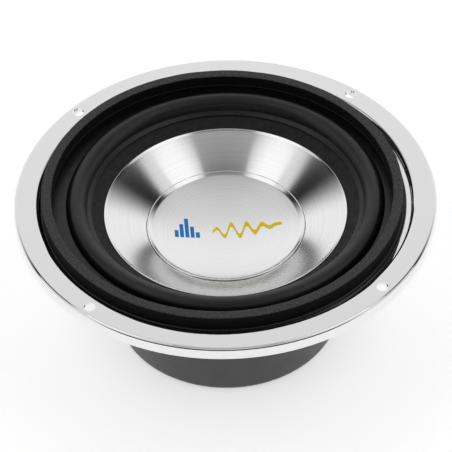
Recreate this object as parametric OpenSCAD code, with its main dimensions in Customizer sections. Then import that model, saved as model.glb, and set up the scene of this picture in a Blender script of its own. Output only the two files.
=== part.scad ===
// Car subwoofer driver, nominal 8 inch, on a pressed steel frame.
// The origin is the centre of the boot's rear face. +Z runs along the axis, out through the cone.
// Sheet parts are drawn as the path of their front side, and the sheet lies to the left of the path.

/* [Frame] */
// Outside diameter of the flange
frame_d = 215; // [175:1:300]
// Height from the rear of the boot to the front of the flange
flange_z = 82.2; // [67:0.1:120]
// Thickness of the frame's steel sheet
sheet_t = 1.3; // [0.8:0.1:2]
// Width of the flat of the flange, from its outside edge to the step
flange_w = 12.8; // [10:0.1:20]
// Depth of the turned-down lip round the flange
lip_h = 6.2; // [4.5:0.1:10]
// Depth of the step from the flange down to the shelf
step_h = 3.6; // [2.5:0.1:6]
// Number of mounting holes
hole_count = 4; // [3:1:8]
// Diameter of a mounting hole
hole_d = 5.8; // [4:0.1:7]
// Distance from the flange's outside edge to a hole's centre
hole_inset = 5.85; // [5:0.05:7]
// Number of windows in the side wall, and of ribs between them
window_count = 8; // [4:1:10]
// Width of a rib between two windows
rib_w = 14; // [10:0.5:20]
// Plain wall left above and below a window
window_margin = 5.5; // [3:0.5:7]
// Corner radius of a window
window_corner = 4; // [1:0.5:4]
// Height of the spider ledge above the frame's floor
ledge_h = 8; // [6:0.5:12]
// Width of the spider ledge
ledge_w = 12; // [8:0.5:14]
// Radius of the hole in the frame's floor
floor_hole_r = 26; // [24:0.5:32]
// Inside radius of the bends in the sheet
bend_r = 0.5; // [0.3:0.1:1]

/* [Motor] */
// Diameter of the ferrite ring magnet
magnet_d = 112; // [104:1:140]
// Thickness of the magnet
magnet_t = 20; // [12:1:30]
// Diameter of the hole in the magnet
magnet_hole_d = 60; // [50:1:70]
// Diameter of the top plate and of the yoke's rear plate
plate_d = 100; // [92:1:103]
// Thickness of the top plate, which is the height of the gap
top_plate_t = 8; // [5:0.5:12]
// Thickness of the yoke's rear plate
yoke_t = 6; // [4:0.5:10]
// Diameter of the vent through the pole
vent_d = 14; // [8:0.5:20]
// Wall of the rubber boot round the magnet
boot_t = 2; // [1:0.1:4]
// Outside radius of the boot's rear edge
boot_corner = 4; // [2.5:0.5:6]
// Diameter of the hole in the boot's rear face
boot_hole_d = 48; // [30:1:70]
// Width of the boot's front lip, over the magnet's front face
boot_lip = 3.5; // [2:0.5:4]
// Clearance between the magnet and the boot's side
boot_clear = 0.2; // [0.1:0.1:1]
// Number of rivets that hold the frame to the top plate
rivet_count = 6; // [3:1:8]
// Diameter of those rivets
rivet_d = 4; // [3:0.5:5]
// Diameter of the circle those rivets are on
rivet_circle_d = 80; // [68:1:84]

/* [Voice coil] */
// Inside diameter of the coil former
former_id = 38.9; // [32:0.1:44]
// Wall of the coil former
former_t = 0.4; // [0.3:0.1:0.6]
// Thickness of the winding
coil_t = 1; // [0.6:0.1:1.5]
// Clearance in the gap, between former and pole
pole_clear = 0.45; // [0.3:0.05:1]
// Clearance in the gap, between winding and top plate
coil_clear = 0.55; // [0.3:0.05:1]
// Travel of the cone each way
travel = 6; // [3:0.5:6]
// Winding left past the gap at full travel
coil_spare = 1; // [0:0.5:1]

/* [Suspension] */
// Bare shelf between the frame's step and the surround
land_gap = 2.7; // [1:0.1:5]
// Width of the surround's outer land, glued to the shelf
land_w = 11.3; // [8:0.1:16]
// Outside radius of the surround's half roll
roll_r = 5.1; // [3.5:0.1:8]
// Thickness of the surround
surround_t = 0.8; // [0.5:0.1:1.2]
// Width of the surround's inner land, glued to the cone
inner_land_w = 2.3; // [1.5:0.1:5]
// Diameter of the spider
spider_d = 124; // [116:1:126]
// Thickness of the spider
spider_t = 0.6; // [0.4:0.1:1]
// Height of the spider's corrugations either side of their middle
spider_wave = 1.5; // [0.8:0.1:1.8]
// Number of corrugations in the spider
spider_waves = 4; // [2:1:6]
// Glue line between a moving piece and what it is glued to
glue = 0.2; // [0.1:0.05:0.3]

/* [Cone] */
// Depth of the cone's edge below the flange
cone_drop = 5.2; // [4.8:0.1:8]
// Height of the cone's neck above the spider ledge
neck_rise = 5.5; // [4.5:0.1:8]
// Length of the neck's collar on the former
collar_h = 2.4; // [1:0.1:2.4]
// Thickness of the cone
cone_t = 1; // [0.6:0.1:1.5]
// Thickness of the spun aluminium facing
facing_t = 0.4; // [0.2:0.1:0.6]
// Black edge of the cone left bare outside the facing
facing_inset = 8.4; // [4:0.1:10]
// Diameter of the dust cap
cap_d = 81.2; // [60:0.2:86]
// Thickness of the dust cap
cap_t = 0.6; // [0.4:0.1:1]
// Width of the dust cap's glued rim
cap_rim = 2; // [1:0.1:4]
// Height of the dust cap's middle above the former
cap_clear = 4.4; // [1:0.1:6]

/* [Front gasket] */
// Height of the foam gasket
gasket_h = 8.7; // [6:0.1:12]
// Width of the foam gasket
gasket_w = 5.3; // [4:0.1:8]
// How far the gasket is glued on to one side of centre
gasket_shift = 1.5; // [0:0.1:2]

/* [Terminals] */
// Width of the terminal board
board_w = 24; // [22:1:30]
// Height of the terminal board
board_h = 20; // [18:1:20]
// Thickness of the terminal board
board_t = 1.6; // [1:0.2:2.4]
// Thickness of the brass tabs
tab_t = 0.8; // [0.5:0.1:1]
// Width of the positive tab's blade
tab_w_positive = 6.3; // [4.8:0.1:6.3]
// Width of the negative tab's blade
tab_w_negative = 4.8; // [2.8:0.1:6.3]
// Length of a blade past the board
blade_l = 8; // [6:0.5:9]
// Distance of each tab from the board's middle
tab_x = 7.5; // [6.5:0.5:8]
// Diameter of the braided leads
lead_d = 1.6; // [1:0.1:2]
// Distance of each lead's eyelet from the axis, along the cone
eyelet_r = 31; // [27:0.5:34]

/* [Hidden] */
$fn = 128;

// Heights, from the rear
yoke_z = boot_t;
magnet_z = yoke_z + yoke_t;
top_plate_z = magnet_z + magnet_t;
floor_z = top_plate_z + top_plate_t;
floor_top = floor_z + sheet_t;
ledge_z = floor_top + ledge_h;
shelf_z = flange_z - step_h;
land_z = shelf_z + surround_t;

// Radii, from the outside in
frame_r = frame_d / 2;
step_r = frame_r - flange_w;
land_r = step_r - land_gap;
roll_out = land_r - land_w;
roll_mid = roll_out - roll_r;
roll_in = roll_mid - roll_r;
shelf_r = roll_out + 0.9;
hole_circle_r = frame_r - hole_inset;

// Motor and coil radii
former_r = former_id / 2;
former_out = former_r + former_t;
coil_r = former_out + coil_t;
pole_r = former_r - pole_clear;
gap_r = coil_r + coil_clear;
plate_r = plate_d / 2;
magnet_r = magnet_d / 2;
boot_r = magnet_r + boot_clear + boot_t;
coil_h = top_plate_t + 2 * (travel + coil_spare);
coil_z = top_plate_z + (top_plate_t - coil_h) / 2;
hole_clear = 0.1;

// Spider and its ledge
spider_r = spider_d / 2;
ledge_out = spider_r + 2;
ledge_in = ledge_out - ledge_w;
spider_z = ledge_z + spider_t;
spider_flat = 1;
spider_neck_h = 2;
spider_neck_r = former_out + glue;

// Cone line
cone_edge_r = roll_in - 0.1;
cone_edge_z = flange_z - cone_drop;
neck_r = former_out;
neck_z = ledge_z + neck_rise;
cone_slope = (cone_edge_z - neck_z) / (cone_edge_r - neck_r);
cone_lean = atan(cone_slope);
former_top = neck_z + 1;
former_z = coil_z - 0.5;
facing_out = cone_edge_r - facing_inset;
cap_r = cap_d / 2;
facing_in = cap_r - cap_rim - 1.6;

// Side wall, as the line of its front side
wall_lean = atan((shelf_r - ledge_out) / (shelf_z - ledge_z));
wall_mid_r = (shelf_r + ledge_out) / 2;
wall_mid_z = (shelf_z + ledge_z) / 2;
window_z0 = ledge_z + window_margin;
window_z1 = shelf_z - sheet_t - window_margin;

// Terminal board and the rivets and eyelets on it
board_gap = 0.1;
board_seat = sheet_t + board_gap;
tab_seat = board_seat + board_t;
board_rivet_d = 3;
board_rivet_v = 6;
head_h = 1;
tab_rivet_d = 2;
tab_rivet_v = 0;
eye_v = 6.5;
eyelet_side = 12;
eyelet_d = 3;
tail_d = 0.7;
tail_gap = 0.25;

// Height of the cone's front side at a radius, raised by a thickness of what lies on it
function cone_z(r, raise = 0) = cone_edge_z - (cone_edge_r - r) * cone_slope + raise / cos(cone_lean);

// Points of an arc
function arc(centre, r, from, to, n = 12) =
    [for (i = [0:n]) let (a = from + (to - from) * i / n) centre + r * [cos(a), sin(a)]];
function unit(v) = v / norm(v);
function left_of(v) = [-v.y, v.x];

// A path whose corners [x, y, radius] are rounded
function corner(a, b, c, r, n = 6) =
    let (
        u = unit(a - b),
        v = unit(c - b),
        half = acos(max(-1, min(1, u * v))) / 2,
        centre = b + unit(u + v) * r / sin(half),
        start = b + u * r / tan(half) - centre,
        end = b + v * r / tan(half) - centre,
        from = atan2(start.y, start.x),
        turn = atan2(cross(start, end), start * end)
    )
    arc(centre, r, from, from + turn, n);
function flat(p) = [p.x, p.y];
function rounded(path) = [
    for (i = [0:len(path) - 1])
        each (i == 0 || i == len(path) - 1 || path[i].z == 0)
            ? [flat(path[i])]
            : corner(flat(path[i - 1]), flat(path[i]), flat(path[i + 1]), path[i].z)
];

// The path moved to its left by t, and the outline of the sheet between the two
function side(path, i) =
    let (
        last = len(path) - 1,
        n1 = left_of(unit(path[max(i, 1)] - path[max(i, 1) - 1])),
        n2 = left_of(unit(path[min(i, last - 1) + 1] - path[min(i, last - 1)]))
    )
    (n1 + n2) / (1 + n1 * n2);
function moved(path, t) = [for (i = [0:len(path) - 1]) path[i] + t * side(path, i)];
function backwards(path) = [for (i = [len(path) - 1:-1:0]) path[i]];
function sheet(path, t) = concat(path, backwards(moved(path, t)));

module spun_sheet(path, t) {
    rotate_extrude() polygon(sheet(path, t));
}

module ring(r_out, r_in, h) {
    difference() {
        cylinder(r = r_out, h = h);
        translate([0, 0, -1]) cylinder(r = r_in, h = h + 2);
    }
}

// Copies on a circle
module around(count, r, first = 0) {
    for (i = [0:count - 1]) rotate(first + 360 * i / count) translate([r, 0, 0]) children();
}

// Children drawn on the side wall's front side: x along it, y up it, z out of it
module on_wall() {
    translate([0, wall_mid_r, wall_mid_z])
        rotate([90 - wall_lean, 0, 0]) mirror([0, 0, 1]) children();
}
function wall_point(x, y, z) = [
    x,
    wall_mid_r + y * sin(wall_lean) + z * cos(wall_lean),
    wall_mid_z + y * cos(wall_lean) - z * sin(wall_lean)
];

// Children drawn on the cone where a lead's eyelet is: z out of its front side
module at_eyelets() {
    for (s = [-1, 1])
        rotate(90 + s * eyelet_side)
            translate([eyelet_r, 0, cone_z(eyelet_r)]) rotate([0, -cone_lean, 0]) children();
}
function eyelet_point(s, below) = [
    (eyelet_r + below * sin(cone_lean)) * cos(90 + s * eyelet_side),
    (eyelet_r + below * sin(cone_lean)) * sin(90 + s * eyelet_side),
    cone_z(eyelet_r) - below * cos(cone_lean)
];

// Smooth curve through points, and a tube along a curve that is never upright
function bent(p0, p1, p2, p3, t) =
    0.5 * (2 * p1 + (p2 - p0) * t + (2 * p0 - 5 * p1 + 4 * p2 - p3) * t * t
        + (3 * p1 - p0 - 3 * p2 + p3) * t * t * t);
function through(p, n) =
    let (last = len(p) - 1)
    concat(
        [for (i = [0:last - 1]) for (k = [0:n - 1])
            bent(p[max(i - 1, 0)], p[i], p[i + 1], p[min(i + 2, last)], k / n)],
        [p[last]]
    );
module tube(path, d, sides = 8) {
    last = len(path) - 1;
    points = [
        for (i = [0:last])
            let (
                ahead = unit(path[min(i + 1, last)] - path[max(i - 1, 0)]),
                across = unit(cross(ahead, [0, 0, 1])),
                up = cross(across, ahead)
            )
            for (k = [0:sides - 1])
                let (a = 360 * k / sides) path[i] + d / 2 * (cos(a) * across + sin(a) * up)
    ];
    walls = [
        for (i = [0:last - 1]) for (k = [0:sides - 1])
            let (n = (k + 1) % sides)
            [i * sides + k, i * sides + n, (i + 1) * sides + n, (i + 1) * sides + k]
    ];
    ends = [[for (k = [sides - 1:-1:0]) k], [for (k = [0:sides - 1]) last * sides + k]];
    polyhedron(points, concat(walls, ends));
}

// ---- Frame ----

outer_bend_r = bend_r + sheet_t;
basket_path = rounded([
    [frame_r, flange_z - lip_h, 0],
    [frame_r, flange_z, outer_bend_r],
    [step_r, flange_z, outer_bend_r],
    [step_r, shelf_z, bend_r],
    [shelf_r, shelf_z, outer_bend_r],
    [ledge_out, ledge_z, bend_r],
    [ledge_in, ledge_z, outer_bend_r],
    [plate_r - 2, floor_top, bend_r],
    [floor_hole_r, floor_top, 0]
]);

function window_half(z) =
    let (r = wall_mid_r + (z - wall_mid_z) * tan(wall_lean))
    r * tan(180 / window_count) - rib_w / 2;
window_fillet = min(window_corner, 0.3 * (window_z1 - window_z0));
window_outline = let (w0 = window_half(window_z0), w1 = window_half(window_z1), c = window_fillet)
    rounded([
        [0, window_z0, 0],
        [w0, window_z0, c],
        [w1, window_z1, c],
        [-w1, window_z1, c],
        [-w0, window_z0, c],
        [0, window_z0, 0]
    ]);

module basket() {
    color("silver")
        difference() {
            spun_sheet(basket_path, sheet_t);
            around(hole_count, hole_circle_r, 180 / hole_count)
                translate([0, 0, flange_z - sheet_t - 1]) cylinder(d = hole_d, h = sheet_t + 2);
            around(window_count, ledge_in, 180 / window_count)
                rotate([90, 0, 90]) linear_extrude(shelf_r + sheet_t) polygon(window_outline);
            around(rivet_count, rivet_circle_d / 2)
                translate([0, 0, floor_z - 1]) cylinder(d = rivet_d + hole_clear, h = sheet_t + 2);
            on_wall()
                for (s = [-1, 1])
                    translate([0, s * board_rivet_v, -1])
                        cylinder(d = board_rivet_d + hole_clear, h = sheet_t + 2);
        }
}

module front_gasket() {
    color("dimgray")
        translate([-gasket_shift, 0, land_z])
            ring(land_r - 0.2, land_r - 0.2 - gasket_w, gasket_h);
}

// ---- Suspension ----

inner_land_r = roll_in - inner_land_w;
surround_path = concat(
    [[land_r, land_z]],
    arc([roll_mid, land_z], roll_r, 0, 180, 24),
    [
        [roll_in, cone_z(roll_in, glue + surround_t)],
        [inner_land_r, cone_z(inner_land_r, glue + surround_t)]
    ]
);

module surround() {
    color("black") spun_sheet(surround_path, surround_t);
}

// Corrugations from the ledge in to the neck's flat
wave_out = ledge_in - spider_flat;
wave_in = spider_neck_r + spider_t + 2 * spider_flat;
wave_steps = 10 * spider_waves;
spider_path = concat(
    [[spider_r, spider_z]],
    [for (i = [0:wave_steps])
        [wave_out + (wave_in - wave_out) * i / wave_steps,
         spider_z + spider_wave * sin(360 * spider_waves * i / wave_steps)]],
    [[spider_neck_r + spider_t, spider_z]]
);

module spider() {
    color("goldenrod")
        union() {
            spun_sheet(spider_path, spider_t);
            translate([0, 0, spider_z - spider_t])
                ring(spider_neck_r + spider_t, spider_neck_r, spider_t + spider_neck_h);
        }
}

// ---- Motor ----

module top_plate() {
    color("gray")
        difference() {
            translate([0, 0, top_plate_z]) ring(plate_r, gap_r, top_plate_t);
            around(rivet_count, rivet_circle_d / 2)
                translate([0, 0, floor_z - rivet_grip - 0.5])
                    cylinder(d = rivet_d + hole_clear, h = rivet_grip + 1);
        }
}

module magnet() {
    color("dimgray") translate([0, 0, magnet_z]) ring(magnet_r, magnet_hole_d / 2, magnet_t);
}

yoke_chamfer = 1.5;
module yoke() {
    color("gray")
        rotate_extrude()
            polygon([
                [vent_d / 2 + yoke_chamfer, yoke_z],
                [plate_r - yoke_chamfer, yoke_z],
                [plate_r, yoke_z + yoke_chamfer],
                [plate_r, magnet_z],
                [pole_r, magnet_z],
                [pole_r, floor_z],
                [pole_r - yoke_chamfer, floor_z + yoke_chamfer],
                [vent_d / 2, floor_z + yoke_chamfer],
                [vent_d / 2, yoke_z + yoke_chamfer]
            ]);
}

boot_path = rounded([
    [boot_hole_d / 2, 0, 0],
    [boot_r, 0, boot_corner],
    [boot_r, top_plate_z + boot_t, boot_t + 0.4],
    [magnet_r - boot_lip, top_plate_z + boot_t, 0]
]);
module magnet_boot() {
    color("darkslategray") spun_sheet(boot_path, boot_t);
}

rivet_grip = 5;
module frame_rivets() {
    color("lightgray")
        around(rivet_count, rivet_circle_d / 2)
            union() {
                translate([0, 0, floor_z - rivet_grip]) cylinder(d = rivet_d, h = rivet_grip + sheet_t);
                translate([0, 0, floor_top]) cylinder(d1 = 1.8 * rivet_d, d2 = 1.2 * rivet_d, h = 0.4 * rivet_d);
            }
}

// ---- Terminals ----

module terminal_board() {
    color("saddlebrown")
        on_wall()
            difference() {
                translate([-board_w / 2, -board_h / 2, board_seat]) cube([board_w, board_h, board_t]);
                for (s = [-1, 1]) {
                    translate([0, s * board_rivet_v, board_seat - 1])
                        cylinder(d = board_rivet_d + hole_clear, h = board_t + 2);
                    translate([s * tab_x, tab_rivet_v, board_seat - 1])
                        cylinder(d = tab_rivet_d + hole_clear, h = board_t + 2);
                }
            }
}

// A rivet with a head at each end of its grip, from z0 to z1
module rivet(d, z0, z1, head) {
    translate([0, 0, z0]) cylinder(d = d, h = z1 - z0);
    translate([0, 0, z0 - head]) cylinder(d = 1.8 * d, h = head);
    translate([0, 0, z1]) cylinder(d = 1.8 * d, h = head);
}

module board_rivets() {
    color("lightgray")
        on_wall()
            for (s = [-1, 1])
                translate([0, s * board_rivet_v, 0])
                    rivet(board_rivet_d, -board_gap, board_seat + board_t, head_h);
}

module tab_rivets() {
    color("gold")
        on_wall()
            for (s = [-1, 1])
                translate([s * tab_x, tab_rivet_v, 0])
                    rivet(tab_rivet_d, board_seat, tab_seat + tab_t, 0.4 * head_h);
}

// A tab with its solder eye at the top and its blade past the board's lower edge
module tab(x, w) {
    tip = 1.2;
    low = -board_h / 2 - blade_l;
    on_wall()
        translate([x, 0, tab_seat])
            linear_extrude(tab_t)
                difference() {
                    polygon([
                        [-w / 2, low + tip], [-w / 2 + tip, low], [w / 2 - tip, low], [w / 2, low + tip],
                        [w / 2, tab_rivet_v + w / 2], [1.8, eye_v + 2], [-1.8, eye_v + 2],
                        [-w / 2, tab_rivet_v + w / 2]
                    ]);
                    translate([0, tab_rivet_v]) circle(d = tab_rivet_d + hole_clear);
                    translate([0, low + blade_l / 2]) circle(d = 1.6);
                }
}

module terminal_positive() {
    color("gold") tab(tab_x, tab_w_positive);
}

module terminal_negative() {
    color("gold") tab(-tab_x, tab_w_negative);
}

// ---- Leads, from a tab's eye round the board's edge, through a window and under the cone ----

eyelet_head = 0.5;
// Room that the flat heads need on the rounded cone
eyelet_lift = 0.08;
lead_r = lead_d / 2;
lead_end = cone_t + eyelet_lift + eyelet_head + 0.1 + lead_r;
// Height along the wall at which a lead passes its window, below the window's upper edge
lead_gap = 2.5;
lead_v = min(eye_v, (window_z1 - wall_mid_z) / cos(wall_lean) - lead_r - lead_gap);
function lead_path(s) =
    let (
        out = tab_seat + tab_t + lead_r + 0.1,
        side_x = board_w / 2 + 2 * lead_d,
        end = eyelet_point(-s, lead_end),
        in = wall_point(s * side_x, lead_v, -3 * lead_d)
    )
    through([
        wall_point(s * tab_x, eye_v, out),
        wall_point(s * (board_w / 2), (eye_v + lead_v) / 2, out + 0.3 * lead_d),
        wall_point(s * side_x, lead_v, board_seat),
        in,
        in + (end - in) * 0.4 + [s * 3, 0, -3],
        in + (end - in) * 0.8 + [s * 2, 0, -2],
        end
    ], 6);

module lead_positive() {
    color("peru") tube(lead_path(1), lead_d);
}

module lead_negative() {
    color("peru") tube(lead_path(-1), lead_d);
}

// ---- Cone and voice coil ----

cone_path = rounded([
    [cone_edge_r, cone_edge_z, 0],
    [neck_r, neck_z, 0.4],
    [neck_r, neck_z - collar_h, 0]
]);
module cone() {
    color("black")
        difference() {
            spun_sheet(cone_path, cone_t);
            at_eyelets() translate([0, 0, -cone_t - 1]) cylinder(d = eyelet_d + hole_clear, h = cone_t + 2);
        }
}

facing_path = [[facing_out, cone_z(facing_out, facing_t)], [facing_in, cone_z(facing_in, facing_t)]];
module cone_facing() {
    color("gainsboro") spun_sheet(facing_path, facing_t);
}

// The cap's dish is a part of a sphere, from the middle out to the rim
dish_r = cap_r - cap_rim;
cap_z = former_top + cap_clear;
dish_depth = cone_z(dish_r, facing_t + cap_t) - cap_z;
dish_ball = (dish_r * dish_r + dish_depth * dish_depth) / (2 * dish_depth);
function dish(r, a, n = 16) = arc([0, cap_z + dish_ball], r, -90 + a, -90, n);
dish_angle = asin(dish_r / dish_ball);
module dust_cap() {
    color("gainsboro")
        rotate_extrude()
            polygon(concat(
                [[cap_r, cone_z(cap_r, facing_t)], [cap_r, cone_z(cap_r, facing_t + cap_t)]],
                dish(dish_ball, dish_angle),
                backwards(dish(dish_ball + cap_t, dish_angle))
            ));
}

module coil_former() {
    color("tan") translate([0, 0, former_z]) ring(former_out, former_r, former_top - former_z);
}

module voice_coil() {
    color("peru") translate([0, 0, coil_z]) ring(coil_r, former_out, coil_h);
}

module lead_eyelets() {
    color("gold") at_eyelets() rivet(eyelet_d, -cone_t - eyelet_lift, eyelet_lift, eyelet_head);
}

// The ends of the winding's wire, along the former's front edge and out to the eyelets
module coil_tails() {
    color("peru")
        for (s = [-1, 1])
            rotate(90 + s * eyelet_side)
                translate([neck_r + 1, 0, cone_z(neck_r + 1, tail_d / 2 + 0.1)])
                    rotate([0, 90 - cone_lean, 0])
                        cylinder(
                            d = tail_d,
                            h = (eyelet_r - neck_r - 1) / cos(cone_lean) - 0.9 * eyelet_d - tail_gap
                        );
}

basket();
front_gasket();
surround();
spider();
top_plate();
magnet();
yoke();
magnet_boot();
frame_rivets();
terminal_board();
board_rivets();
terminal_positive();
terminal_negative();
tab_rivets();
lead_positive();
lead_negative();
cone();
cone_facing();
dust_cap();
coil_former();
voice_coil();
lead_eyelets();
coil_tails();
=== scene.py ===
"""Finishes and soft pieces of a car subwoofer driver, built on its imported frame."""

import math

import bmesh
import bpy
from bpy.props import FloatProperty, FloatVectorProperty, IntProperty, PointerProperty
from mathutils import Matrix, Vector, noise


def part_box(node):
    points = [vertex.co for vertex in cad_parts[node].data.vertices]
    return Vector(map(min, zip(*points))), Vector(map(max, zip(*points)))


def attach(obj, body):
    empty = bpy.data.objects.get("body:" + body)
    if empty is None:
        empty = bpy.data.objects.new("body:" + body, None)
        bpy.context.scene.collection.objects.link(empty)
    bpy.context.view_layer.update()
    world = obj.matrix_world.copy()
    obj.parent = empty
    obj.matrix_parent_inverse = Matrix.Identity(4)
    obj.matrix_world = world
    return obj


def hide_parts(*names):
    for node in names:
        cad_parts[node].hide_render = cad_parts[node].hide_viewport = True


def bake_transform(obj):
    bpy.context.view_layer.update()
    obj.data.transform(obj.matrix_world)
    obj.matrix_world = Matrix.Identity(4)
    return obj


bl_info = {
    "name": "Subwoofer Driver",
    "version": (1, 0, 0),
    "blender": (4, 5, 0),
    "location": "View3D > Sidebar > Driver",
    "description": "Builds the plated frame, gasket, rubber surround, spun cone and motor of a car subwoofer",
    "category": "Object",
}

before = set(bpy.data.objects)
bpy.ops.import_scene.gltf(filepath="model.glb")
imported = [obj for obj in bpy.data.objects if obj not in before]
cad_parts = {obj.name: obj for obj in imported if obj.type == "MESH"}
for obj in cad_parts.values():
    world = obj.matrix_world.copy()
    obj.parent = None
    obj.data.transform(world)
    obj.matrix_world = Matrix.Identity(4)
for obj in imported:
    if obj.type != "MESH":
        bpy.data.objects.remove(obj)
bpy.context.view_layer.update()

MM = 0.001
FRAME = "frame"
CONE = "cone_assembly"
SPUN_UV = "spun"


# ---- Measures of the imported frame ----


def radii(node, low=-math.inf, high=math.inf):
    """Smallest and largest radius of a node's points between two heights."""
    found = [v.co.xy.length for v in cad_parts[node].data.vertices if low <= v.co.z <= high]
    return min(found), max(found)


def middle_of(node, keep):
    """Middle of those of a node's points that keep() accepts."""
    found = [v.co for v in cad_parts[node].data.vertices if keep(v.co)]
    return sum(found, Vector()) / len(found)


# ---- Colour ----


def linear(code):
    """Linear colour with alpha from an sRGB hex code."""
    channels = [int(code[i : i + 2], 16) / 255 for i in (1, 3, 5)]
    return (*[c / 12.92 if c <= 0.04045 else ((c + 0.055) / 1.055) ** 2.4 for c in channels], 1.0)


def colour_property(name, description, code):
    return FloatVectorProperty(
        name=name, description=description, subtype="COLOR", size=4, min=0, max=1, default=linear(code)
    )


def length_property(name, description, default):
    return FloatProperty(name=name, description=description, unit="LENGTH", precision=5, default=default)


class DriverSizes(bpy.types.PropertyGroup):
    steps: IntProperty(name="Turn steps", description="Faces round a turned or moulded piece", default=256)
    gasket_w: length_property("Gasket width", "Width of the foam gasket's ring", 5.3 * MM)
    gasket_edge: length_property("Gasket edge", "Rounding of the foam gasket's edges", 0.7 * MM)
    gasket_waver: length_property("Gasket waver", "How far the cut foam strays from a true ring", 0.14 * MM)
    surround_t: length_property("Surround thickness", "Thickness of the moulded rubber", 0.8 * MM)
    roll_foot: length_property("Roll foot", "Fillet where the half roll meets its lands", 0.6 * MM)
    roll_r: length_property("Roll radius", "Outside radius of the half roll", 5.1 * MM)
    cone_t: length_property("Cone thickness", "Thickness of the pressed pulp", 1.0 * MM)
    facing_t: length_property("Facing thickness", "Thickness of the spun aluminium", 0.4 * MM)
    facing_bulge: length_property("Facing bulge", "Rise of the facing over a straight line", 0.28 * MM)
    cap_t: length_property("Cap thickness", "Thickness of the dust cap", 0.6 * MM)
    cap_rim: length_property("Cap rim", "Width of the dust cap's glued rim", 2.0 * MM)
    boot_t: length_property("Boot wall", "Wall of the rubber boot", 2.0 * MM)
    spider_t: length_property("Spider thickness", "Thickness of the pressed cloth", 0.6 * MM)
    spider_seat: length_property("Spider seat", "Width of the spider's rim on the ledge", 10 * MM)
    spider_wave: length_property("Spider wave", "Height of a corrugation over its middle", 1.5 * MM)
    spider_waves: IntProperty(name="Spider waves", description="Number of corrugations", default=4)
    print_t: length_property("Print thickness", "Height of the ink on the dust cap", 0.04 * MM)


class DriverColours(bpy.types.PropertyGroup):
    plating: colour_property("Plating", "Bright plate on the frame", "#EBEBEC")
    foam: colour_property("Foam", "Cut face of the gasket", "#4A4A4A")
    # Colour of the gasket's side walls: partly the foam's own skin, partly painted shade
    foam_wall_and_shade: colour_property("Foam wall", "Side walls of the gasket", "#0C0C0C")
    rubber: colour_property("Surround rubber", "Moulded rubber of the surround", "#0D0D0E")
    pulp: colour_property("Cone pulp", "Dyed paper of the cone", "#1D1D1D")
    aluminium: colour_property("Aluminium", "Spun facing and dust cap", "#F4F4F4")
    boot: colour_property("Boot rubber", "Moulded rubber round the magnet", "#363636")
    cloth: colour_property("Spider cloth", "Resin-stiffened cotton", "#B98E35")
    ferrite: colour_property("Ferrite", "Ground face of the magnet", "#3A3A3D")
    steel: colour_property("Zinc plate", "Turned motor plates", "#C9C8C2")
    fibre: colour_property("Board fibre", "Phenolic board", "#6E4526")
    brass: colour_property("Brass", "Tabs and eyelets", "#D9B56A")
    copper: colour_property("Copper", "Winding and braid", "#C07A4E")
    kraft: colour_property("Kraft paper", "Coil former", "#B08A57")
    tin: colour_property("Solder", "Set tin solder", "#C8C9CC")
    # Also the black of the bead at the gasket's foot, which partly stands in as painted shade
    glue: colour_property("Glue", "Dried contact glue", "#0E0E0E")
    ink_bars: colour_property("Bar ink", "Printed level bars", "#1E86D2")
    ink_wave: colour_property("Wave ink", "Printed wave", "#F7DA12")


class DriverStudio(bpy.types.PropertyGroup):
    distance: length_property("Camera distance", "From the middle of the flange's front face", 1.4589)
    lens: FloatProperty(name="Lens", description="Focal length in millimetres", default=228.91)
    azimuth: FloatProperty(
        name="Azimuth", description="Turn of the camera and lights", subtype="ANGLE", default=math.radians(-3.3)
    )
    elevation: FloatProperty(
        name="Elevation", description="Height angle of the camera", subtype="ANGLE", default=math.radians(43.326)
    )
    tilt: FloatProperty(name="Tilt", description="Aim above the middle", subtype="ANGLE", default=-0.0102)
    roll: FloatProperty(name="Roll", description="Roll of the camera", subtype="ANGLE", default=0.0278)
    wall: FloatProperty(name="Wall light", description="Brightness of the white back wall", default=0.93)
    panel: FloatProperty(name="Side light", description="Brightness of the side panels", default=0.8)
    softbox: FloatProperty(name="Softbox", description="Power of each softbox, in watts", default=0.3)


def sizes():
    return bpy.context.scene.driver_sizes


def colours():
    return bpy.context.scene.driver_colours


# ---- Shader building ----

# Sockets of a Mix node that mixes colours
MIX_A, MIX_B, MIX_OUT = 6, 7, 2


def add(tree, kind, inputs=None, **settings):
    """A node with its settings; each input is a value, or an output to link."""
    made = tree.nodes.new(kind)
    for name, value in settings.items():
        setattr(made, name, value)
    for key, source in (inputs or {}).items():
        if isinstance(source, bpy.types.NodeSocket):
            tree.links.new(source, made.inputs[key])
        else:
            made.inputs[key].default_value = source
    return made


def new_material(name, **values):
    """A material with one Principled shader, whose constant sockets are given by name."""
    material = bpy.data.materials.new(name)
    material.use_nodes = True
    tree = material.node_tree
    shader = tree.nodes["Principled BSDF"]
    for socket, value in values.items():
        shader.inputs[socket.replace("_", " ")].default_value = value
    return material, tree, shader


def shade(colour, factor):
    """A colour made lighter or darker."""
    return (*[min(1.0, c * factor) for c in colour[:3]], 1.0)


def place_mm(tree):
    """Object coordinates in millimetres."""
    place = add(tree, "ShaderNodeTexCoord").outputs["Object"]
    return add(tree, "ShaderNodeVectorMath", {0: place, "Scale": 1 / MM}, operation="SCALE").outputs[0]


def mottle(tree, place, size_mm, low=0.0, high=1.0, detail=3, rough=0.5):
    """Cloudy pattern about size_mm across that runs from low to high."""
    cloud = add(
        tree, "ShaderNodeTexNoise", {"Vector": place, "Scale": 1 / size_mm, "Detail": detail, "Roughness": rough}
    )
    return add(
        tree,
        "ShaderNodeMapRange",
        {"Value": cloud.outputs[0], "From Min": 0.3, "From Max": 0.7, "To Min": low, "To Max": high},
    ).outputs[0]


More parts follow.
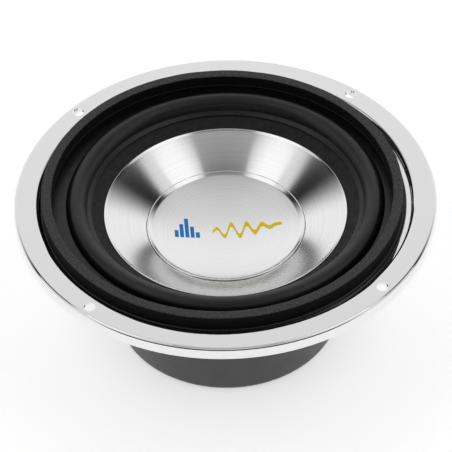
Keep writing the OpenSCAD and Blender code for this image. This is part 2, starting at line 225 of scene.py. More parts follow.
def turned_lines(tree, place, pitch_mm, low=0.0, high=1.0):
    """Lines round the axis, as a turning or spinning tool leaves, about pitch_mm apart."""
    flat = add(tree, "ShaderNodeVectorMath", {0: place, 1: (1, 1, 0)}, operation="MULTIPLY").outputs[0]
    radius = add(tree, "ShaderNodeVectorMath", {0: flat}, operation="LENGTH").outputs["Value"]
    lines = add(
        tree,
        "ShaderNodeTexNoise",
        {"W": radius, "Scale": 1 / pitch_mm, "Detail": 3, "Roughness": 0.7},
        noise_dimensions="1D",
    )
    return add(
        tree,
        "ShaderNodeMapRange",
        {"Value": lines.outputs[0], "From Min": 0.3, "From Max": 0.7, "To Min": low, "To Max": high},
    ).outputs[0]


def colour_by(tree, shader, pattern, dark, light):
    """The pattern turns the surface from one colour to the other."""
    tint = add(tree, "ShaderNodeMix", {0: pattern, MIX_A: dark, MIX_B: light}, data_type="RGBA")
    tree.links.new(tint.outputs[MIX_OUT], shader.inputs["Base Color"])


def raise_by(tree, shader, pattern, depth_mm):
    """The pattern stands proud of the surface."""
    relief = add(tree, "ShaderNodeBump", {"Height": pattern, "Distance": depth_mm * MM})
    tree.links.new(relief.outputs[0], shader.inputs["Normal"])


def gloss_by(tree, shader, pattern):
    tree.links.new(pattern, shader.inputs["Roughness"])


# ---- Materials ----


def bright_plate():
    """Nickel and chrome plate on pressed steel: a near mirror with the faint waviness of drawn sheet."""
    material, tree, shader = new_material("plated_steel_polished", Metallic=1.0, Base_Color=colours().plating)
    place = place_mm(tree)
    gloss_by(tree, shader, mottle(tree, place, 5.0, 0.03, 0.08, 4))
    raise_by(tree, shader, mottle(tree, place, 14.0, detail=1), 0.0025)
    return material


def cut_foam():
    """Closed-cell foam cut from sheet: grey open pores on the cut face, drawn 0.9 mm wide, and side walls
    darker, partly for their skin and partly as painted shade.
    """
    material, tree, shader = new_material("neoprene_foam_cut", Roughness=0.92, Specular_IOR_Level=0.25)
    place = place_mm(tree)
    normal = add(tree, "ShaderNodeTexCoord").outputs["Normal"]
    facing = add(tree, "ShaderNodeSeparateXYZ", {0: normal}).outputs["Z"]
    # Mask by facing: the top keeps the cut face's colour, and the sideways walls take the dark wall colour,
    # which is partly painted shade
    cut_top_vs_shaded_wall = add(tree, "ShaderNodeMapRange", {"Value": facing, "From Min": 0.35, "From Max": 0.85}).outputs[0]
    cells = add(tree, "ShaderNodeTexVoronoi", {"Vector": place, "Scale": 1 / 0.8}).outputs["Distance"]
    speckle = mottle(tree, place, 0.9, rough=0.7)
    face = add(
        tree,
        "ShaderNodeMix",
        {0: speckle, MIX_A: shade(colours().foam, 0.45), MIX_B: shade(colours().foam, 1.7)},
        data_type="RGBA",
    ).outputs[MIX_OUT]
    colour_by(tree, shader, cut_top_vs_shaded_wall, colours().foam_wall_and_shade, face)
    pores = add(tree, "ShaderNodeMath", {0: cells, 1: speckle}, operation="ADD").outputs[0]
    raise_by(tree, shader, pores, 0.12)
    return material


def moulded_rubber():
    """Butyl rubber moulded in a polished tool: black with a soft sheen and the tool's fine turning marks."""
    material, tree, shader = new_material("butyl_rubber_moulded", Base_Color=colours().rubber)
    place = place_mm(tree)
    gloss_by(tree, shader, mottle(tree, place, 6.0, 0.3, 0.46, 5, 0.6))
    rings = turned_lines(tree, place, 0.6, 0.0, 0.5)
    skin = mottle(tree, place, 0.5, 0.0, 0.5)
    raise_by(tree, shader, add(tree, "ShaderNodeMath", {0: rings, 1: skin}, operation="ADD").outputs[0], 0.016)
    return material


def pressed_pulp():
    """Black-dyed paper pulp pressed on a screen: short fibres and a dull, uneven face."""
    material, tree, shader = new_material("paper_pulp_pressed", Specular_IOR_Level=0.35)
    fibres = add(
        tree, "ShaderNodeTexNoise", {"Vector": place_mm(tree), "Scale": 1 / 1.1, "Detail": 6, "Roughness": 0.65}
    ).outputs[0]
    colour_by(tree, shader, fibres, shade(colours().pulp, 0.4), shade(colours().pulp, 1.9))
    gloss_by(tree, shader, mottle(tree, place_mm(tree), 3.0, 0.55, 0.8))
    raise_by(tree, shader, fibres, 0.1)
    return material


def spun_aluminium():
    """Aluminium spun on a former and buffed: tool lines round the axis stretch each reflection across them."""
    material, tree, shader = new_material("aluminium_spun", Metallic=1.0, Roughness=0.135, Anisotropic=0.8)
    lines = turned_lines(tree, place_mm(tree), 0.9)
    colour_by(tree, shader, lines, shade(colours().aluminium, 0.93), colours().aluminium)
    tangent = add(tree, "ShaderNodeTangent", direction_type="UV_MAP", uv_map=SPUN_UV)
    tree.links.new(tangent.outputs[0], shader.inputs["Tangent"])
    raise_by(tree, shader, lines, 0.0007)
    return material


def boot_rubber():
    """Soft PVC rubber moulded as a cup: dark grey with a low gloss and a fine eroded texture."""
    material, tree, shader = new_material("pvc_rubber_moulded", Coat_Weight=0.35, Coat_Roughness=0.4)
    place = place_mm(tree)
    dust = mottle(tree, place, 9.0, detail=6, rough=0.6)
    colour_by(tree, shader, dust, shade(colours().boot, 0.85), shade(colours().boot, 1.12))
    gloss_by(tree, shader, mottle(tree, place, 7.0, 0.36, 0.5, 5))
    raise_by(tree, shader, mottle(tree, place, 0.5, detail=4, rough=0.7), 0.016)
    return material


def woven(tree, place, pitch_mm, turns):
    """Threads pitch_mm apart in two directions, each given as a turn of the pattern."""
    bands = [
        add(
            tree,
            "ShaderNodeTexWave",
            {
                "Vector": add(tree, "ShaderNodeMapping", {"Vector": place, "Rotation": turn}).outputs[0],
                # A wave repeats every pi / 10 at a scale of 1
                "Scale": math.pi / 10 / pitch_mm,
                "Distortion": 0.6,
                "Detail": 1,
            },
        ).outputs["Fac"]
        for turn in turns
    ]
    return add(tree, "ShaderNodeMath", {0: bands[0], 1: bands[1]}, operation="MULTIPLY").outputs[0]


def stiffened_cloth():
    """Plain-weave cotton dipped in resin: amber, with threads 0.5 mm apart as a fine grid."""
    material, tree, shader = new_material("cotton_resin_pressed", Roughness=0.75)
    weave = woven(tree, place_mm(tree), 0.5, ((0, 0, 0), (0, 0, math.pi / 2)))
    colour_by(tree, shader, weave, shade(colours().cloth, 0.5), shade(colours().cloth, 1.3))
    raise_by(tree, shader, weave, 0.12)
    return material


def ground_ferrite():
    """Sintered ferrite with ground faces: charcoal grey, with chips and dull specks."""
    material, tree, shader = new_material("ferrite_ground", Roughness=0.55)
    specks = mottle(tree, place_mm(tree), 1.4, detail=6, rough=0.7)
    colour_by(tree, shader, specks, shade(colours().ferrite, 0.6), shade(colours().ferrite, 1.4))
    raise_by(tree, shader, specks, 0.02)
    return material


def zinc_plate():
    """Zinc plate on turned steel: satin with lathe lines round the axis."""
    material, tree, shader = new_material("steel_zinc_plated", Metallic=1.0)
    place = place_mm(tree)
    cloudy = mottle(tree, place, 7.0, detail=4)
    colour_by(tree, shader, cloudy, shade(colours().steel, 0.8), colours().steel)
    gloss_by(tree, shader, turned_lines(tree, place, 0.7, 0.28, 0.45))
    raise_by(tree, shader, turned_lines(tree, place, 0.7), 0.005)
    return material


def phenolic_board():
    """Phenolic paper laminate, punched from sheet: brown, with a faint fibre grain and a dull gloss."""
    material, tree, shader = new_material("phenolic_laminate", Roughness=0.45)
    along = add(tree, "ShaderNodeMapping", {"Vector": place_mm(tree), "Scale": (0.3, 1.6, 1.6)}).outputs[0]
    fibres = mottle(tree, along, 1.0, detail=5, rough=0.6)
    colour_by(tree, shader, fibres, shade(colours().fibre, 0.75), shade(colours().fibre, 1.25))
    raise_by(tree, shader, fibres, 0.012)
    return material


def rolled_strip(name, colour):
    """Rolled strip or wire, pressed to shape: satin, with slight tarnish."""
    material, tree, shader = new_material(name, Metallic=1.0)
    place = place_mm(tree)
    tarnish = mottle(tree, place, 3.0, detail=5, rough=0.6)
    colour_by(tree, shader, tarnish, shade(colour, 0.7), colour)
    gloss_by(tree, shader, mottle(tree, place, 2.0, 0.25, 0.42, 4))
    raise_by(tree, shader, mottle(tree, place, 0.6), 0.004)
    return material


def copper_braid():
    """Tinsel braid: flat copper foils wound on cotton, crossing at a pitch of 0.8 mm."""
    material, tree, shader = new_material("copper_tinsel_braid", Metallic=0.8, Roughness=0.4)
    braid = woven(tree, place_mm(tree), 0.8, ((0.6, 0.8, 0.8), (0.6, -0.8, 0.8)))
    colour_by(tree, shader, braid, shade(colours().copper, 0.35), shade(colours().copper, 1.3))
    raise_by(tree, shader, braid, 0.12)
    return material


def kraft_paper():
    """Kraft paper wound and glued: brown, matt, with a fibre grain."""
    material, tree, shader = new_material("kraft_paper_wound", Roughness=0.8)
    fibres = mottle(tree, place_mm(tree), 0.8, detail=5, rough=0.6)
    colour_by(tree, shader, fibres, shade(colours().kraft, 0.8), shade(colours().kraft, 1.15))
    raise_by(tree, shader, fibres, 0.012)
    return material


def enamelled_winding():
    """Enamelled wire wound turn by turn: glossy copper bands, drawn 0.6 mm apart so that they show."""
    material, tree, shader = new_material("copper_wire_enamelled", Metallic=0.7, Roughness=0.25, Coat_Weight=0.4)
    turns = add(
        tree,
        "ShaderNodeTexWave",
        {"Vector": place_mm(tree), "Scale": math.pi / 10 / 0.6},
        bands_direction="Z",
    ).outputs["Fac"]
    colour_by(tree, shader, turns, shade(colours().copper, 0.4), colours().copper)
    raise_by(tree, shader, turns, 0.15)
    return material


def set_solder():
    """Tin solder, set with a slightly wrinkled skin."""
    material, tree, shader = new_material("solder_tin", Metallic=1.0, Base_Color=colours().tin)
    place = place_mm(tree)
    gloss_by(tree, shader, mottle(tree, place, 0.7, 0.2, 0.4))
    raise_by(tree, shader, mottle(tree, place, 0.7), 0.016)
    return material


def set_glue():
    """Black contact glue, pressed out and dried with a low gloss."""
    material, tree, shader = new_material("contact_glue_black", Base_Color=colours().glue)
    place = place_mm(tree)
    gloss_by(tree, shader, mottle(tree, place, 1.5, 0.25, 0.5))
    raise_by(tree, shader, mottle(tree, place, 1.5), 0.04)
    return material


def screen_ink(name, colour):
    """Translucent screen ink on bright metal: vivid, with a fine mesh mark and a satin face."""
    material, tree, shader = new_material(name, Metallic=0.6)
    place = place_mm(tree)
    colour_by(tree, shader, mottle(tree, place, 0.4, detail=2), shade(colour, 0.92), shade(colour, 1.05))
    gloss_by(tree, shader, mottle(tree, place, 0.4, 0.35, 0.45, 2))
    raise_by(tree, shader, mottle(tree, place, 0.4, detail=2), 0.004)
    return material


# ---- Outlines and turned pieces ----


def arc(centre, radius, start, end, count=12):
    """Points of an arc, in degrees."""
    turns = [math.radians(start + (end - start) * i / count) for i in range(count + 1)]
    return [Vector((centre[0] + radius * math.cos(a), centre[1] + radius * math.sin(a))) for a in turns]


def rounded(corners, count=6, closed=False):
    """A path whose corners (x, y, radius) are rounded."""
    points = []
    for i, (x, y, radius) in enumerate(corners):
        here = Vector((x, y))
        if radius == 0 or (not closed and i in (0, len(corners) - 1)):
            points.append(here)
            continue
        before = (Vector(corners[i - 1][:2]) - here).normalized()
        after = (Vector(corners[(i + 1) % len(corners)][:2]) - here).normalized()
        half = before.angle(after) / 2
        centre = here + (before + after).normalized() * radius / math.sin(half)
        start = here + before * radius / math.tan(half) - centre
        turn = -start.angle_signed(here + after * radius / math.tan(half) - centre)
        first = math.atan2(start.y, start.x)
        points += arc(centre, radius, math.degrees(first), math.degrees(first + turn), count)
    return points


def sheet(path, thickness):
    """Outline of a sheet that lies to the left of a path."""
    other = []
    for i, here in enumerate(path):
        ahead = (path[min(i + 1, len(path) - 1)] - path[min(i, len(path) - 2)]).normalized()
        behind = (path[max(i, 1)] - path[max(i, 1) - 1]).normalized()
        a, b = Vector((-behind.y, behind.x)), Vector((-ahead.y, ahead.x))
        other.append(here + thickness * (a + b) / (1 + a.dot(b)))
    return list(path) + other[::-1]


def finished(name, build, material, body=None, stands_for=(), sharp=35):
    """Object from a bmesh, smooth up to an angle, riding on a body."""
    mesh = bpy.data.meshes.new(name)
    build.to_mesh(mesh)
    build.free()
    for face in mesh.polygons:
        face.use_smooth = True
    mesh.set_sharp_from_angle(angle=math.radians(sharp))
    piece = bpy.data.objects.new(name, mesh)
    bpy.context.scene.collection.objects.link(piece)
    mesh.materials.append(material)
    if body:
        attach(piece, body)
    if stands_for:
        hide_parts(*stands_for)
    return piece


def turned(outline, steps=None, centre=(0, 0)):
    """Closed outline of (radius, height) spun round the axis, with a map whose U runs outwards and V round."""
    build = bmesh.new()
    points = [build.verts.new((p[0], 0, p[1])) for p in outline]
    edges = [build.edges.new((a, b)) for a, b in zip(points, points[1:] + points[:1]) if a.co.x + b.co.x > 1e-9]
    bmesh.ops.spin(
        build,
        geom=points + edges,
        cent=(0, 0, 0),
        axis=(0, 0, 1),
        angle=2 * math.pi,
        steps=steps or sizes().steps,
        use_merge=True,
    )
    bmesh.ops.remove_doubles(build, verts=build.verts, dist=1e-7)
    bmesh.ops.recalc_face_normals(build, faces=build.faces)
    layer = build.loops.layers.uv.new(SPUN_UV)
    for face in build.faces:
        whole = math.atan2(*face.calc_center_median().yx)
        for loop in face.loops:
            at = loop.vert.co
            turn = math.atan2(at.y, at.x) - whole
            turn -= round(turn / (2 * math.pi)) * 2 * math.pi
            if at.xy.length < 1e-7:
                turn = 0
            loop[layer].uv = (at.xy.length / 0.1, (whole + turn) / (2 * math.pi))
    bmesh.ops.translate(build, verts=build.verts, vec=(*centre, 0))
    return build


def bend_round(piece):
    """Bakes the piece's placement into its mesh."""
    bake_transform(piece)


def cad_finish(node, material):
    """Better material on a CAD node that keeps its shape."""
    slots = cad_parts[node].data.materials
    slots.clear()
    slots.append(material)


# ---- Operators ----


class PieceOperator:
    """What every piece's operator shares."""

    bl_options = {"REGISTER"}

    def execute(self, context):
        self.build(context)
        return {"FINISHED"}


class DRIVER_OT_stage(PieceOperator, bpy.types.Operator):
    """Camera, pale floor and soft studio light"""

    bl_idname = "driver.stage"
    bl_label = "Stage"

    def build(self, context):
        studio = context.scene.driver_studio
        self.camera(context, studio)
        self.floor(context)
        self.surroundings(context, studio)
        for side in (-1, 1):
            self.softbox(context, studio, side)

    def camera(self, context, studio):
        target = Vector((0, 0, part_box("basket")[1].z))
        away = Vector((0, -math.cos(studio.elevation), math.sin(studio.elevation)))
        forward = -away
        right = Vector((1, 0, 0))
        up = right.cross(forward)
        tilt = Matrix.Rotation(studio.tilt, 3, right)
        forward = tilt @ forward
        up = tilt @ up
        roll = Matrix.Rotation(studio.roll, 3, forward)
        axes = Matrix((roll @ right, roll @ up, -forward)).transposed()
        turn = Matrix.Rotation(studio.azimuth, 3, "Z")
        data = bpy.data.cameras.new("camera")
        data.lens = studio.lens
        data.sensor_width = 36
        data.clip_end = 50
        camera = bpy.data.objects.new("camera", data)
        camera.matrix_world = Matrix.Translation(target + turn @ away * studio.distance) @ (turn @ axes).to_4x4()
        context.scene.collection.objects.link(camera)
        context.scene.camera = camera
        context.scene.view_settings.view_transform = "Standard"

    def floor(self, context):
        material = new_material(
            "floor_paper_white",
            Base_Color=linear("#FBFBFB"),
            Roughness=0.9,
            Specular_IOR_Level=0.0,
            Emission_Color=linear("#FFFFFF"),
            Emission_Strength=0.5,
        )[0]
        build = bmesh.new()
        bmesh.ops.create_grid(build, x_segments=1, y_segments=1, size=8)
        finished("floor", build, material)

    def surroundings(self, context, studio):
        """A white back wall, bright panels at both sides, a dark gap beside them and a partly dark front."""
        world = context.scene.world or bpy.data.worlds.new("studio")
        context.scene.world = world
        world.use_nodes = True
        tree = world.node_tree
        tree.nodes.clear()
        place = add(tree, "ShaderNodeTexCoord").outputs["Generated"]
        square = add(tree, "ShaderNodeMapping", {"Vector": place, "Rotation": (0, 0, -studio.azimuth)})
        apart = add(tree, "ShaderNodeSeparateXYZ", {0: square.outputs[0]})
        aside = add(tree, "ShaderNodeMath", {0: apart.outputs["X"]}, operation="ABSOLUTE").outputs[0]
        back = apart.outputs["Y"]
        up = add(tree, "ShaderNodeMath", {0: apart.outputs["Z"], 1: 0.0}, operation="MAXIMUM").outputs[0]
        over = add(tree, "ShaderNodeMath", {0: up, 1: back}, operation="ARCTAN2").outputs[0]
        share = add(tree, "ShaderNodeMapRange", {"Value": over, "From Max": math.pi}).outputs[0]
        ramp = add(tree, "ShaderNodeValToRGB", {0: share})
        self.levels(ramp.color_ramp.elements, studio.wall)
        mirrored = add(tree, "ShaderNodeCombineXYZ", {0: aside, 1: back, 2: up}).outputs[0]
        # From the plane through these two directions, each so far up and so far off the back, the gap fades
        edge = [
            Vector((math.cos(rise) * math.sin(turn), math.cos(rise) * math.cos(turn), math.sin(rise)))
            for rise, turn in ((math.radians(50), math.radians(45)), (math.radians(36.5), math.radians(68)))
        ]
        edge_plane = edge[0].cross(edge[1]).normalized()
        above_gap = add(
            tree, "ShaderNodeVectorMath", {0: mirrored, 1: edge_plane}, operation="DOT_PRODUCT"
        ).outputs["Value"]
        gap_side = self.step(tree, aside, 0.28, 0.56, 0.0, 1.0)
        gap_over = self.step(tree, above_gap, 0.02, 0.4, gap_side, 0.0)
        # Low in front there is wall again, which only the views from behind reflect
        low_front = self.step(tree, up, 0.35, 0.5, 0.0, gap_over)
        gap = self.step(tree, back, -0.75, -0.55, low_front, gap_over)
        panel_front = self.step(tree, back, -0.6, -0.3, 0.0, 1.0)
        panel_side = self.step(tree, aside, 0.2, 0.36, 0.0, panel_front)
        panel = self.step(tree, back, 0.23, 0.28, panel_side, 0.0)
        black, white = (0.012, 0.012, 0.012, 1), (1, 1, 1, 1)
        seen = add(tree, "ShaderNodeLightPath").outputs["Is Camera Ray"]
        colour = ramp.outputs[0]
        for factor, other in ((gap, black), (panel, shade(white, studio.panel)), (seen, white)):
            mixed = add(tree, "ShaderNodeMix", {0: factor, MIX_A: colour, MIX_B: other}, data_type="RGBA")
            colour = mixed.outputs[MIX_OUT]
        light = add(tree, "ShaderNodeBackground", {"Color": colour})
        add(tree, "ShaderNodeOutputWorld", {"Surface": light.outputs[0]})

    def levels(self, stops, wall):
        """Brightness by angle, from the back's horizon over the top to the front's."""
        levels = [(0, 1), (32, 1), (38, 0.97), (44, 0.91), (48, 0.84), (55, 0.76), (61, 0.71)]
        levels += [(68, 0.62), (74, 0.5), (86, 0.44), (98, 0.37), (103, 0.03), (117, 0.02)]
        levels += [(122, 0.85), (132, 0.85), (137, 0.02), (153, 0.02), (160, 0.5), (180, 0.5)]
        for i, (angle, level) in enumerate(levels):
            stop = stops[0] if i == 0 else stops[-1] if i == len(levels) - 1 else stops.new(angle / 180)
            stop.position = angle / 180
            stop.color = shade((wall, wall, wall), level)

    def step(self, tree, value, low, high, before, after):
        """A smooth change from one level to another."""
        return add(
            tree,
            "ShaderNodeMapRange",
            {"Value": value, "From Min": low, "From Max": high, "To Min": before, "To Max": after},
            interpolation_type="SMOOTHSTEP",
        ).outputs[0]

    def softbox(self, context, studio, side):
        data = bpy.data.lights.new("softbox", "AREA")
        data.shape = "DISK"
        data.size = 0.62
        data.energy = studio.softbox
        lamp = bpy.data.objects.new("softbox", data)
        height = math.radians(66)
        turn = Matrix.Rotation(studio.azimuth, 3, "Z")
        away = turn @ Vector((side * math.cos(height), -0.02, math.sin(height)))
        lamp.location = Vector((0, 0, 0.08)) + away * 1.5
        lamp.rotation_euler = away.to_track_quat("Z", "Y").to_euler()
        lamp.visible_camera = False
        context.scene.collection.objects.link(lamp)


class DRIVER_OT_frame(PieceOperator, bpy.types.Operator):
    """Bright plate on the pressed frame"""

    bl_idname = "driver.frame"
    bl_label = "Pressed frame"

    def build(self, context):
        cad_finish("basket", bright_plate())


class DRIVER_OT_gasket(PieceOperator, bpy.types.Operator):
    """Foam gasket, cut from sheet and glued on"""

    bl_idname = "driver.gasket"
    bl_label = "Front gasket"

    def build(self, context):
        low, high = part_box("front_gasket")
        centre = ((low.x + high.x) / 2, (low.y + high.y) / 2)
        outer = (high.x - low.x) / 2
        inner = outer - sizes().gasket_w
        edge = sizes().gasket_edge
        seam = low.z + 0.3 * (high.z - low.z)
        notch = 0.22 * MM
        outline = rounded(
            [
                (inner, low.z, 0),
                (outer, low.z, 0),
                (outer, high.z, edge),
                (inner, high.z, edge),
                (inner, seam + notch, 0),
                (inner + notch, seam, 0),
                (inner, seam - notch, 0),
            ],
            closed=True,
        )
        build = turned(self.divided(outline, 1.2 * MM), 400, centre)
        waver = sizes().gasket_waver
        for vertex in build.verts:
            share = (vertex.co.z - low.z) / (high.z - low.z)
            slow = noise.noise(vertex.co / (9 * MM))
            quick = noise.noise(vertex.co / (2.2 * MM))
            out = Vector((vertex.co.x - centre[0], vertex.co.y - centre[1], 0)).normalized()
            vertex.co += out * waver * share * (slow + 0.5 * quick)
            vertex.co.z -= waver * share * abs(0.6 * slow + 0.4 * quick)
        finished("foam_gasket", build, cut_foam(), FRAME, ["front_gasket"])
        self.glue(centre, outer, low.z)

    def glue(self, centre, outer, seat):
        """Glue pressed out along the gasket's outer foot; its black also stands in as painted shade for the gap
        between the gasket and the ring.
        """
        bead = 1.1 * MM
        corner = (outer - 0.1 * MM, seat)
        build = turned(arc(corner, bead, 0, 90, 6) + [Vector(corner)], 256, centre)
        for vertex in build.verts:
            if vertex.co.z > seat + 0.1 * MM:
                vertex.co.z += 0.15 * MM * noise.noise(vertex.co / (5 * MM))
        # The black bead is partly glue and partly painted shade of the gap beside the gasket
        finished("gasket_glue_and_gap_shade", build, set_glue(), FRAME)

    def divided(self, outline, longest):
        """The outline with its long stretches divided."""
        points = []
        for a, b in zip(outline, outline[1:] + outline[:1]):
            count = max(1, math.ceil((b - a).length / longest))
            points += [a.lerp(b, i / count) for i in range(count)]
        return points


class DRIVER_OT_surround(PieceOperator, bpy.types.Operator):
    """Half-roll rubber surround"""

    bl_idname = "driver.surround"
    bl_label = "Surround"

    def build(self, context):
        thick = sizes().surround_t
        roll = sizes().roll_r
        foot = sizes().roll_foot
        inner, outer = radii("surround")
        low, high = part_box("surround")
        land = high.z - roll
        roll_outer = radii("surround", land + 0.1 * MM)[1] + 0.01 * MM
        roll_inner = roll_outer - 2 * roll
        slope = cone_slope()
        shelf = low.z + thick * math.cos(math.atan(slope))
        outer_land = rounded([(outer, land, 0), (roll_outer, land, foot), (roll_outer, land + roll, 0)])[:-1]
        crest = arc((roll_outer - roll, land), roll, 9, 171, 40)
        inner_land = rounded(
            [
                (roll_inner, land + roll, 0),
                (roll_inner, shelf + (roll_inner - inner) * slope, foot),
                (inner, shelf, 0),
            ]
        )[1:]
        outline = sheet(outer_land + crest + inner_land, thick)
        piece = finished(
            "rubber_surround", turned(outline), moulded_rubber(), None, ["surround"], 50
        )
        bend_round(piece)


def cone_slope():
    """Rise of the cone over its run, read from the facing."""
    low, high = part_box("cone_facing")
    inner, outer = radii("cone_facing")
    return (high.z - low.z - sizes().facing_t) / (outer - inner)


class DRIVER_OT_cone(PieceOperator, bpy.types.Operator):
    """Pulp cone and its spun aluminium facing"""

    bl_idname = "driver.cone"
    bl_label = "Cone"

    def build(self, context):
        self.pulp()
        self.facing()

    def pulp(self):
        low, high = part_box("cone")
        inner, outer = radii("cone")
        thick = sizes().cone_t
        slope = cone_slope()
        lean = math.atan(slope)
        edge = outer - thick * math.sin(lean)
        neck = high.z - (edge - inner) * slope
        path = rounded([(edge, high.z, 0), (inner, neck, 1.0 * MM), (inner, low.z, 0)])
        build = turned(sheet(path, thick))
        finished("pulp_cone", build, pressed_pulp(), CONE, ["cone"])

    def facing(self):
        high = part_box("cone_facing")[1]
        inner, outer = radii("cone_facing")
        thick = sizes().facing_t
        slope = cone_slope()
        lean = math.atan(slope)
        bead = 0.25 * MM
        outer -= thick * math.sin(lean)
        top = high.z
        start = math.degrees(lean)
        centre = (outer - bead * math.cos(lean), top - bead * math.sin(lean) - 0.15 * MM)
        rolled = arc(centre, bead, start - 100, start + 90, 8)
        inner_top = top - (outer - inner) * slope
        bulge = sizes().facing_bulge
        first = Vector((outer, top))
        last = Vector((inner, inner_top))
        side = Vector((-math.sin(lean), math.cos(lean)))
        steps = 32
        shares = [i / steps for i in range(1, steps + 1)]
        # 4 t (1 - t) is 1 at the middle, where the bulge is highest
        tail = [first.lerp(last, t) + side * bulge * 4 * t * (1 - t) for t in shares]
        tail.append(Vector((inner, inner_top - thick)))
        finished("spun_facing", turned(rolled + tail), spun_aluminium(), CONE, ["cone_facing"])


def dish():
    """Radius, middle height and sphere of the dust cap's dish."""
    low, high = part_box("dust_cap")
    thick = sizes().cap_t
    lean = math.atan(cone_slope())
    rim = sizes().cap_rim
    radius = high.x - rim
    middle = low.z + thick
    depth = high.z - rim * math.tan(lean) - middle
    return radius, middle, (radius * radius + depth * depth) / (2 * depth)


class DRIVER_OT_dust_cap(PieceOperator, bpy.types.Operator):
    """Spun dust cap, the glue under its rim and the print on it"""

    bl_idname = "driver.dust_cap"
    bl_label = "Dust cap"

    def build(self, context):
        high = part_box("dust_cap")[1]
        self.cap(high, spun_aluminium())
        self.glue(high)
        self.print_bars(screen_ink("ink_screen_blue", colours().ink_bars))
        self.print_wave(screen_ink("ink_screen_yellow", colours().ink_wave))

    def cap(self, high, metal):
        thick = sizes().cap_t
        radius, middle, ball = dish()
        lean = math.atan(cone_slope())
        angle = math.degrees(math.asin(radius / ball))
        centre = (0, middle + ball)
        bead = 0.45 * MM
        edge = high.x - bead
        rim_top = high.z - bead * math.tan(lean) - 0.1 * MM
        rolled = arc((edge, rim_top), bead, -90 + math.degrees(lean), 90 + math.degrees(lean), 10)
        front = arc(centre, ball, -90 + angle, -90, 40)
        rear = arc(centre, ball + thick, -90, -90 + angle, 40)
        finished("spun_cap", turned(rolled + front + rear), metal, CONE, ["dust_cap"])

    def glue(self, high):
        """A bead of glue in the corner under the rim."""
        bead = 0.5 * MM
        centre = (high.x + 0.05 * MM, high.z - sizes().cap_t * 1.25)
        outline = arc(centre, bead, 0, 330, 11)
        turned_bead = turned(outline)
        for vertex in turned_bead.verts:
            vertex.co.z += 0.12 * MM * noise.noise(vertex.co / (4 * MM))
        finished("cap_glue", turned_bead, set_glue(), CONE)

    def print_bars(self, ink):
        """Five level bars."""
        pitch = 2.7 * MM
        width = 2.0 * MM
        heights = (5.0, 9.5, 13.5, 8.0, 4.0)
        build = bmesh.new()
        for i, height in enumerate(heights):
            height *= MM
            made = bmesh.ops.create_grid(build, x_segments=3, y_segments=14, size=0.5)["verts"]
            bmesh.ops.scale(build, vec=(width, height, 1), verts=made)
            centre = (-20.0 * MM + (i - 2) * pitch, height / 2 - 2.5 * MM, 0)
            bmesh.ops.translate(build, vec=centre, verts=made)
        self.laid("print_bars", build, ink)

    def print_wave(self, ink):
        """One dying wave."""
        length = 36 * MM
        build = bmesh.new()
        made = bmesh.ops.create_grid(build, x_segments=120, y_segments=2, size=0.5)["verts"]
        for vertex in made:
            share = vertex.co.x + 0.5
            swell = math.sin(math.pi * share) ** 0.7
            rise = 6.5 * MM * swell * (1.1 - share) * math.sin(2 * math.pi * 4.5 * share)
            vertex.co.x = (share - 0.5) * length + 11.0 * MM
            vertex.co.y = vertex.co.y * (1.6 + 2.0 * swell) * MM + rise + 1.8 * MM
        self.laid("print_wave", build, ink)

    def laid(self, name, build, ink):
        """Ink laid on the dish as a thin closed film."""
        bmesh.ops.solidify(build, geom=build.faces, thickness=sizes().print_t)
        bmesh.ops.recalc_face_normals(build, faces=build.faces)
        floor = min(v.co.z for v in build.verts)
        _, middle, ball = dish()
        for vertex in build.verts:
            vertex.co.z += middle + ball - math.sqrt(ball * ball - vertex.co.xy.length_squared) - floor
        finished(name, build, ink, CONE)


class DRIVER_OT_motor(PieceOperator, bpy.types.Operator):
    """Motor plates, magnet, rivets and the rubber boot"""

    bl_idname = "driver.motor"
    bl_label = "Motor"

    def build(self, context):
        steel = zinc_plate()
        for node in ("top_plate", "yoke"):
            cad_finish(node, steel)
        cad_finish("frame_rivets", rolled_strip("steel_rivet_plated", linear("#BFC0C2")))
        cad_finish("magnet", ground_ferrite())
        self.boot()

    def boot(self):
        low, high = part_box("magnet_boot")
        inner = radii("magnet_boot", -1, low.z + 0.05 * MM)[0]
        lip = radii("magnet_boot", high.z - 0.05 * MM)[0]
        thick = sizes().boot_t
        outer = high.x
        path = rounded(
            [
                (inner, low.z, 0),
                (outer, low.z, 4 * MM),
                (outer, high.z, 2.4 * MM),
                (lip, high.z, 0),
            ],
            10,
        )
        finished(
            "rubber_boot", turned(sheet(path, thick)), boot_rubber(), FRAME, ["magnet_boot"]
        )


class DRIVER_OT_coil(PieceOperator, bpy.types.Operator):
    """Former, winding and the ends of its wire"""

    bl_idname = "driver.coil"
    bl_label = "Voice coil"

    def build(self, context):
        cad_finish("voice_coil", enamelled_winding())
        cad_finish("coil_tails", rolled_strip("copper_wire_plain", colours().copper))
        cad_finish("coil_former", kraft_paper())


class DRIVER_OT_spider(PieceOperator, bpy.types.Operator):
    """Corrugated cloth spider"""

    bl_idname = "driver.spider"
    bl_label = "Spider"

    def build(self, context):
        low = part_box("spider")[0]
        inner, outer = radii("spider")
        thick = sizes().spider_t
        wave = sizes().spider_wave
        count = sizes().spider_waves
        middle = low.z + thick + wave
        neck = 2 * MM
        ledge_in = outer - sizes().spider_seat
        start = ledge_in - 1 * MM
        end = inner + thick + 2 * MM
        steps = 16 * count
        path = [Vector((outer, middle))]
        for i in range(steps + 1):
            share = i / steps
            path.append(
                Vector((start + (end - start) * share, middle + wave * math.sin(2 * math.pi * count * share)))
            )
        neck_turn = [(end, middle, 0), (inner + thick, middle, 0.5 * MM), (inner + thick, middle + neck, 0)]
        path += rounded(neck_turn)[1:]
        outline = sheet(path, thick)
        piece = finished("cloth_spider", turned(outline), stiffened_cloth(), None, ["spider"], 50)
        bend_round(piece)


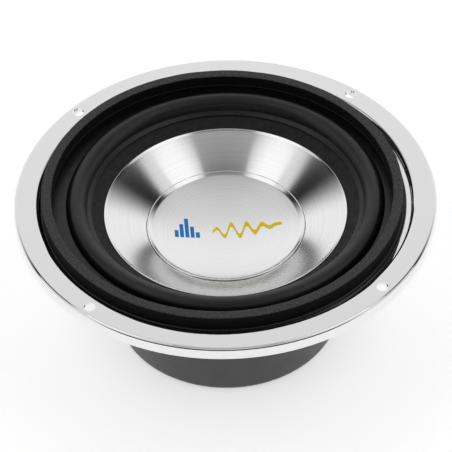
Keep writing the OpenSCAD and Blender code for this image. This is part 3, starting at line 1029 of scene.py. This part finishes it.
class DRIVER_OT_terminals(PieceOperator, bpy.types.Operator):
    """Terminal board, tabs, rivets and solder"""

    bl_idname = "driver.terminals"
    bl_label = "Terminals"

    def build(self, context):
        brass = rolled_strip("brass_strip_pressed", colours().brass)
        cad_finish("terminal_board", phenolic_board())
        for node in ("terminal_positive", "terminal_negative", "tab_rivets", "lead_eyelets"):
            cad_finish(node, brass)
        cad_finish("board_rivets", rolled_strip("steel_rivet_zinc", linear("#C4C5C6")))
        tin = set_solder()
        for node, side in (("lead_positive", "positive"), ("lead_negative", "negative")):
            start = middle_of(node, lambda p: p.y > 0.07 and abs(p.x) < 0.0085)
            end = middle_of(node, lambda p: p.y < 0.0325)
            self.bead("solder_tab_" + side, start, 1.5 * MM, tin, FRAME)
            self.bead("solder_eyelet_" + side, end, 1.3 * MM, tin, CONE)

    def bead(self, name, centre, radius, tin, body):
        """A drop of solder, a little uneven."""
        build = bmesh.new()
        bmesh.ops.create_icosphere(build, subdivisions=4, radius=radius)
        for vertex in build.verts:
            vertex.co *= 1 + 0.18 * noise.noise(vertex.co / (1.4 * MM) + centre * 50)
            vertex.co.z *= 0.75
        bmesh.ops.translate(build, vec=centre, verts=build.verts)
        finished(name, build, tin, body)


class DRIVER_OT_leads(PieceOperator, bpy.types.Operator):
    """Braided leads from the tabs to the cone"""

    bl_idname = "driver.leads"
    bl_label = "Leads"

    def build(self, context):
        braid = copper_braid()
        for node in ("lead_positive", "lead_negative"):
            build = bmesh.new()
            build.from_mesh(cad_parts[node].data)
            bmesh.ops.remove_doubles(build, verts=build.verts, dist=1e-6)
            piece = finished("braid_" + node, build, braid, None, [node], 60)
            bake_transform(piece)


OPERATORS = (
    DRIVER_OT_stage,
    DRIVER_OT_frame,
    DRIVER_OT_gasket,
    DRIVER_OT_surround,
    DRIVER_OT_cone,
    DRIVER_OT_dust_cap,
    DRIVER_OT_spider,
    DRIVER_OT_coil,
    DRIVER_OT_motor,
    DRIVER_OT_terminals,
    DRIVER_OT_leads,
)


class DRIVER_PT_pieces(bpy.types.Panel):
    """The driver's pieces, in the order they are built"""

    bl_idname = "DRIVER_PT_pieces"
    bl_label = "Subwoofer driver"
    bl_space_type = "VIEW_3D"
    bl_region_type = "UI"
    bl_category = "Driver"

    def draw(self, context):
        for group in (context.scene.driver_sizes, context.scene.driver_colours, context.scene.driver_studio):
            box = self.layout.box()
            for name in group.__annotations__:
                box.prop(group, name)
        for operator in OPERATORS:
            self.layout.operator(operator.bl_idname)


GROUPS = {
    "driver_sizes": DriverSizes,
    "driver_colours": DriverColours,
    "driver_studio": DriverStudio,
}


def register():
    for cls in (*GROUPS.values(), *OPERATORS, DRIVER_PT_pieces):
        bpy.utils.register_class(cls)
    for name, group in GROUPS.items():
        setattr(bpy.types.Scene, name, PointerProperty(type=group))


def unregister():
    for name in GROUPS:
        delattr(bpy.types.Scene, name)
    for cls in reversed((*GROUPS.values(), *OPERATORS, DRIVER_PT_pieces)):
        bpy.utils.unregister_class(cls)


def main():
    register()
    for operator in OPERATORS:
        group, name = operator.bl_idname.split(".")
        getattr(getattr(bpy.ops, group), name)()


if __name__ == "__main__":
    main()
